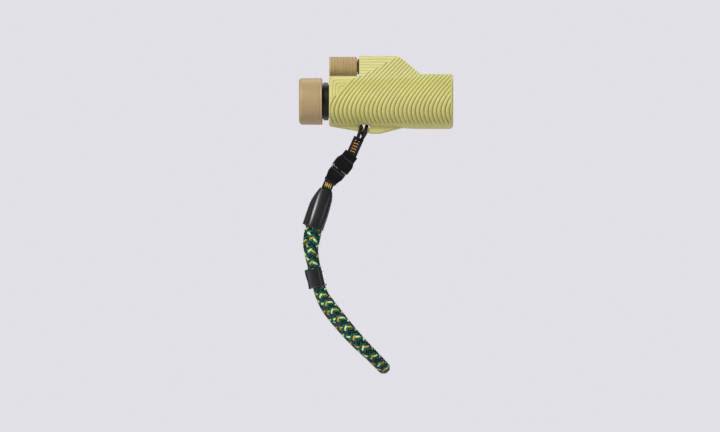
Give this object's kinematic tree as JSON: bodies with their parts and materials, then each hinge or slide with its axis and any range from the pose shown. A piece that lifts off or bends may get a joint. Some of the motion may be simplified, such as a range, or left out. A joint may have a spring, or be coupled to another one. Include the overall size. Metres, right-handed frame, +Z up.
{
  "type": "binoculars",
  "caption": "Compact roof-prism binoculars in ribbed rubber armour, with twist-up eyecups, a centre focus wheel, a folding hinge and a rope wrist strap.",
  "frame": {"origin": "midway between the two barrel axes, at the place where a hand closes round the barrels", "axes": "+X along the barrels towards the objectives, +Z up through the focus wheel, +Y towards the left barrel"},
  "size_m": [0.1139, 0.1169, 0.236],
  "materials": {
    "housing_plastic": "moulded, dark",
    "armour_rubber": "ribbed, yellow-green, matte",
    "cup_rubber": "smooth, tan, matte",
    "wheel_rubber": "finely grooved, tan",
    "wheel_cap_plastic": "tan disc",
    "black_anodised": "black anodised",
    "coated_glass": "anti-reflection coated",
    "prism_glass": "polished",
    "seal_rubber": "nitrile",
    "cage_plastic": "moulded",
    "neck_plastic": "satin black",
    "steel": "turned",
    "brass": "turned",
    "washer_nylon": "nylon",
    "lug_cord_fabric": "braided black cord",
    "webbing": "woven black tape with yellow stitching",
    "buckle_plastic": "glossy black acetal",
    "black_leather": "glossy black leather with a stitched seam",
    "braided_rope": "braided teal rope with light green and gold flecks"
  },
  "bodies": {
    "right_barrel": {"right_housing": "housing_plastic", "right_armour": "armour_rubber", "right_objective_cell": "black_anodised", "right_objective_lens": "coated_glass", "right_objective_ring": "black_anodised", "right_objective_seal": "seal_rubber", "right_prism_cage": "cage_plastic", "right_half_penta_prism": "prism_glass", "right_schmidt_prism": "prism_glass", "right_eyepiece_tube": "neck_plastic", "right_eye_lens": "coated_glass", "right_eye_lens_ring": "black_anodised", "hinge_axle": "steel", "wheel_collar": "neck_plastic", "hinge_front_cap": "neck_plastic", "hinge_washers": "washer_nylon", "lug_cord": "lug_cord_fabric", "upper_webbing": "webbing", "buckle_socket": "buckle_plastic", "buckle_plug": "buckle_plastic", "lower_webbing": "webbing", "strap_ferrule": "black_leather", "wrist_rope": "braided_rope"},
    "left_barrel": {"left_housing": "housing_plastic", "left_armour": "armour_rubber", "left_objective_cell": "black_anodised", "left_objective_lens": "coated_glass", "left_objective_ring": "black_anodised", "left_objective_seal": "seal_rubber", "left_prism_cage": "cage_plastic", "left_half_penta_prism": "prism_glass", "left_schmidt_prism": "prism_glass", "left_eyepiece_tube": "neck_plastic", "left_field_cell": "black_anodised", "left_field_lens": "coated_glass", "left_eye_lens": "coated_glass", "left_eye_lens_ring": "black_anodised", "left_neck_ring": "neck_plastic"},
    "focus_wheel": {"focus_wheel": "wheel_rubber", "focus_wheel_hub": "black_anodised", "wheel_cap": "wheel_cap_plastic", "focus_screw": "steel"},
    "focus_nut": {"focus_nut": "brass"},
    "right_focus_cell": {"right_focus_cell": "black_anodised", "right_focus_lens": "coated_glass"},
    "left_focus_cell": {"left_focus_cell": "black_anodised", "left_focus_lens": "coated_glass"},
    "diopter_ring": {"diopter_ring": "neck_plastic"},
    "diopter_cell": {"right_field_cell": "black_anodised", "right_field_lens": "coated_glass"},
    "right_cup_guide": {"right_eyecup_guide": "cage_plastic"},
    "right_eyecup": {"right_eyecup": "cup_rubber", "right_eyecup_core": "neck_plastic"},
    "left_cup_guide": {"left_eyecup_guide": "cage_plastic"},
    "left_eyecup": {"left_eyecup": "cup_rubber", "left_eyecup_core": "neck_plastic"},
    "prong_front": {"buckle_prong_front": "buckle_plastic"},
    "prong_back": {"buckle_prong_back": "buckle_plastic"},
    "rope_slider": {"rope_slider": "black_leather"}
  },
  "joints": [
    {"name": "interpupillary_fold", "type": "hinge", "parent": "right_barrel", "child": "left_barrel", "pos_m": [0, 0, 0.026], "axis": [1, 0, 0], "range_deg": [-16.3, 19.8]},
    {"name": "focus_wheel_turn", "type": "hinge", "parent": "right_barrel", "child": "focus_wheel", "pos_m": [0, 0, 0.026], "axis": [1, 0, 0], "range_deg": [-270, 270]},
    {"name": "focus_nut_slide", "type": "slide", "parent": "right_barrel", "child": "focus_nut", "axis": [1, 0, 0], "range_m": [-0.0018, 0.0018]},
    {"name": "right_focus_slide", "type": "slide", "parent": "right_barrel", "child": "right_focus_cell", "axis": [1, 0, 0], "range_m": [-0.0018, 0.0018]},
    {"name": "left_focus_slide", "type": "slide", "parent": "left_barrel", "child": "left_focus_cell", "axis": [1, 0, 0], "range_m": [-0.0018, 0.0018]},
    {"name": "diopter_turn", "type": "hinge", "parent": "right_barrel", "child": "diopter_ring", "pos_m": [-0.0624, -0.032, 0], "axis": [1, 0, 0], "range_deg": [-40, 40]},
    {"name": "diopter_shift", "type": "slide", "parent": "right_barrel", "child": "diopter_cell", "axis": [1, 0, 0], "range_m": [-0.0008, 0.0008]},
    {"name": "right_eyecup_travel", "type": "slide", "parent": "right_barrel", "child": "right_cup_guide", "axis": [1, 0, 0], "range_m": [0, 0.0048]},
    {"name": "right_eyecup_twist", "type": "hinge", "parent": "right_cup_guide", "child": "right_eyecup", "pos_m": [-0.0732, -0.032, 0], "axis": [1, 0, 0], "range_deg": [0, 120]},
    {"name": "left_eyecup_travel", "type": "slide", "parent": "left_barrel", "child": "left_cup_guide", "axis": [1, 0, 0], "range_m": [0, 0.0048]},
    {"name": "left_eyecup_twist", "type": "hinge", "parent": "left_cup_guide", "child": "left_eyecup", "pos_m": [-0.0732, 0.032, 0], "axis": [1, 0, 0], "range_deg": [0, 120]},
    {"name": "buckle_front_press", "type": "hinge", "parent": "right_barrel", "child": "prong_front", "pos_m": [-0.04825, -0.032, -0.05264], "axis": [0, -1, 0], "range_deg": [0, 8], "stiffness_Nm_per_rad": 0.005},
    {"name": "buckle_back_press", "type": "hinge", "parent": "right_barrel", "child": "prong_back", "pos_m": [-0.05503, -0.032, -0.04734], "axis": [0, -1, 0], "range_deg": [-8, 0], "stiffness_Nm_per_rad": 0.005},
    {"name": "rope_slider_slide", "type": "slide", "parent": "right_barrel", "child": "rope_slider", "axis": [0.2278, 0, -0.9737], "range_m": [-0.006, 0.001]}
  ],
  "couplings": [
    {"joint": "focus_nut_slide", "follows": "focus_wheel_turn", "m_per_rad": -0.00038159},
    {"joint": "right_focus_slide", "follows": "focus_wheel_turn", "m_per_rad": -0.00038159},
    {"joint": "left_focus_slide", "follows": "focus_wheel_turn", "m_per_rad": -0.00038159},
    {"joint": "diopter_shift", "follows": "diopter_turn", "m_per_rad": 0.0011448},
    {"joint": "right_eyecup_travel", "follows": "right_eyecup_twist", "m_per_rad": 0.0022895},
    {"joint": "left_eyecup_travel", "follows": "left_eyecup_twist", "m_per_rad": 0.0022895},
    {"joint": "buckle_back_press", "follows": "buckle_front_press", "ratio": -1}
  ]
}
